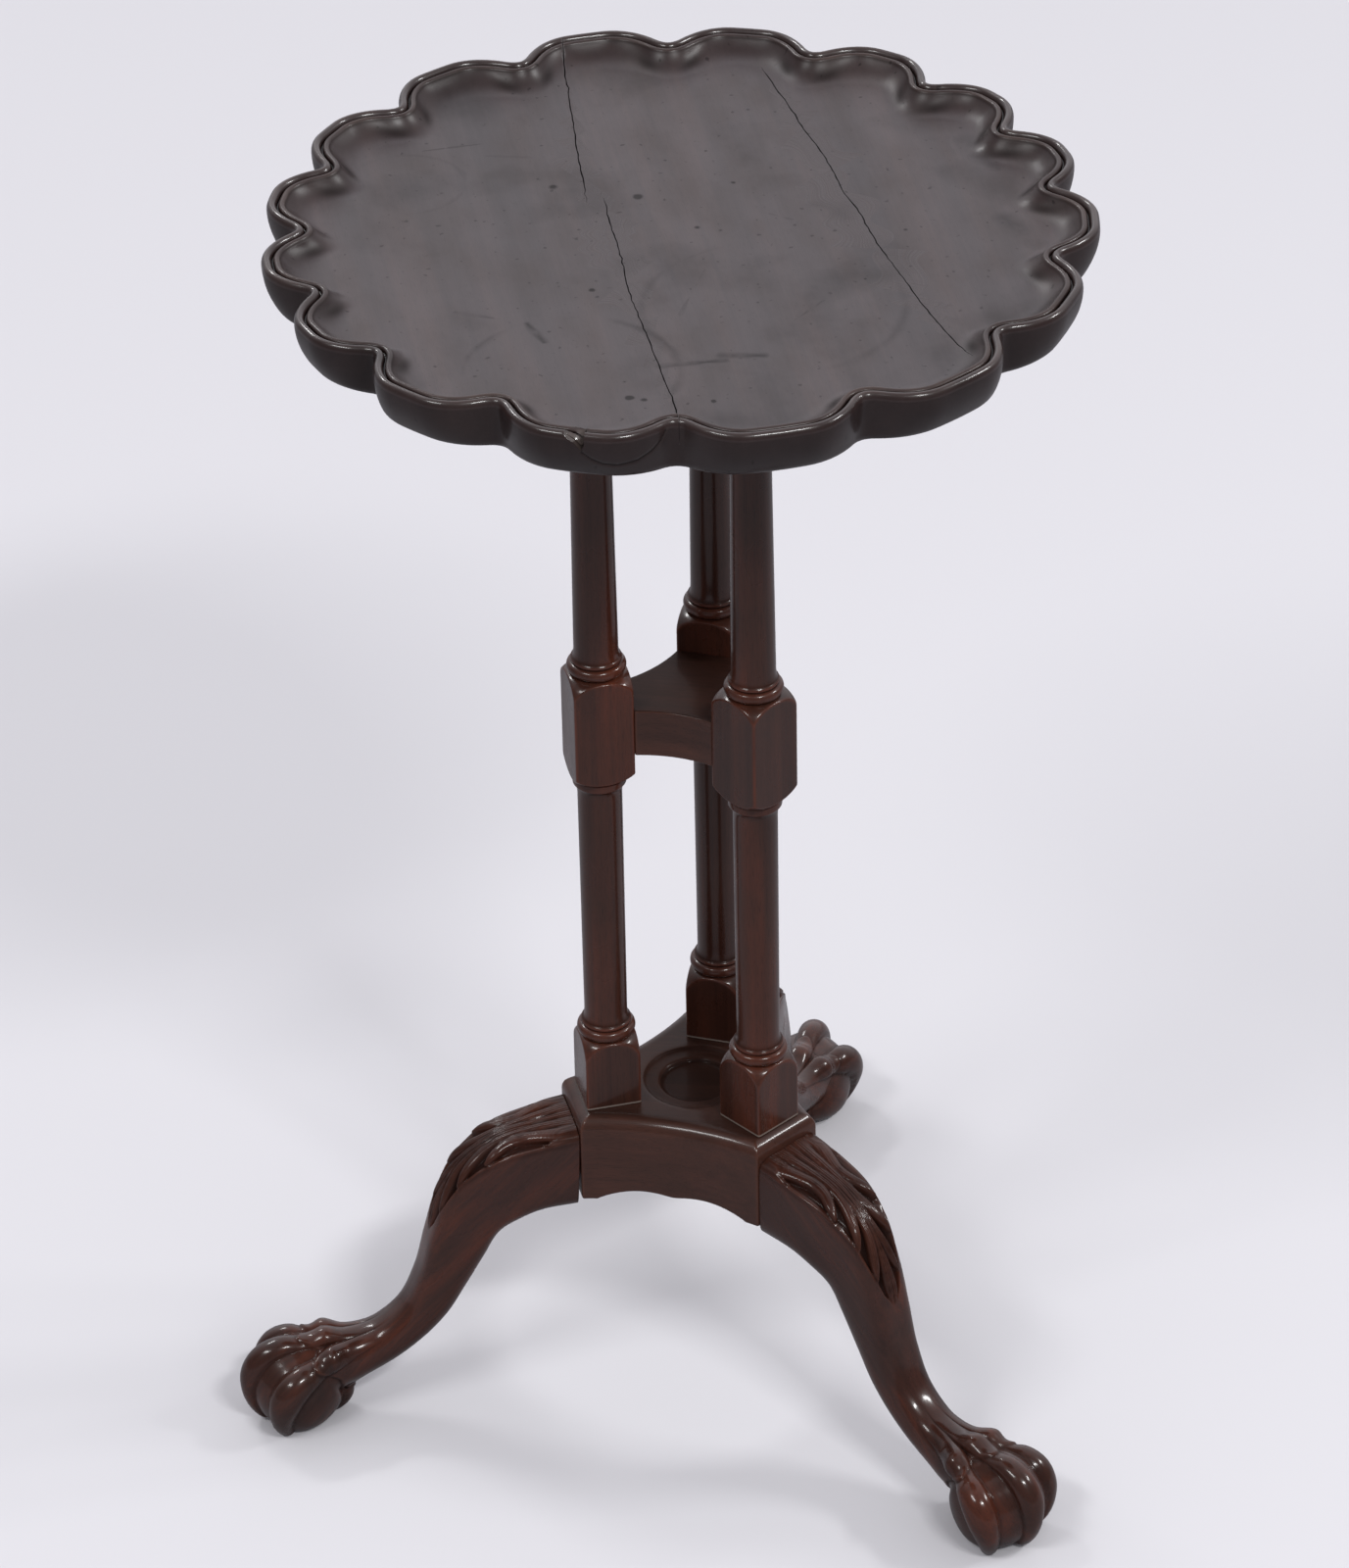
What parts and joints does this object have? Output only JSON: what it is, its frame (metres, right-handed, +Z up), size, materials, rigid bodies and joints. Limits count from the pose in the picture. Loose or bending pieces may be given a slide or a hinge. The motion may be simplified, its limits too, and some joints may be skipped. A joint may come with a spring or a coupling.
{
  "type": "gueridon",
  "caption": "Round side table: dished top with a scalloped raised rim on slim turned columns, a small middle shelf, a hollow-sided plinth and carved cabriole legs with claw-and-ball feet.",
  "frame": {"origin": "on the table's vertical axis at floor level, midway between the three feet", "axes": "+Z up; +Y along the rear leg; +X to the right seen from the front"},
  "size_m": [0.4438, 0.4615, 0.7],
  "materials": {
    "top_wood": "old mahogany, dull wax polish, scuffed",
    "column_wood": "turned mahogany, glossy dark red-brown polish",
    "frame_wood": "mahogany, satin dark red-brown polish",
    "leg_wood": "carved mahogany, waxed dark red-brown",
    "dowel_wood": "plain unfinished hardwood",
    "screw_iron": "dark old iron"
  },
  "bodies": {
    "root": {"table_top": "top_wood", "top_platform": "frame_wood", "platform_screws": "screw_iron", "column_rear": "column_wood", "column_left": "column_wood", "column_right": "column_wood", "mid_shelf": "frame_wood", "shelf_dowels": "dowel_wood", "plinth": "frame_wood", "leg_rear": "leg_wood", "leg_left": "leg_wood", "leg_right": "leg_wood", "leg_dowels": "dowel_wood"}
  },
  "joints": []
}
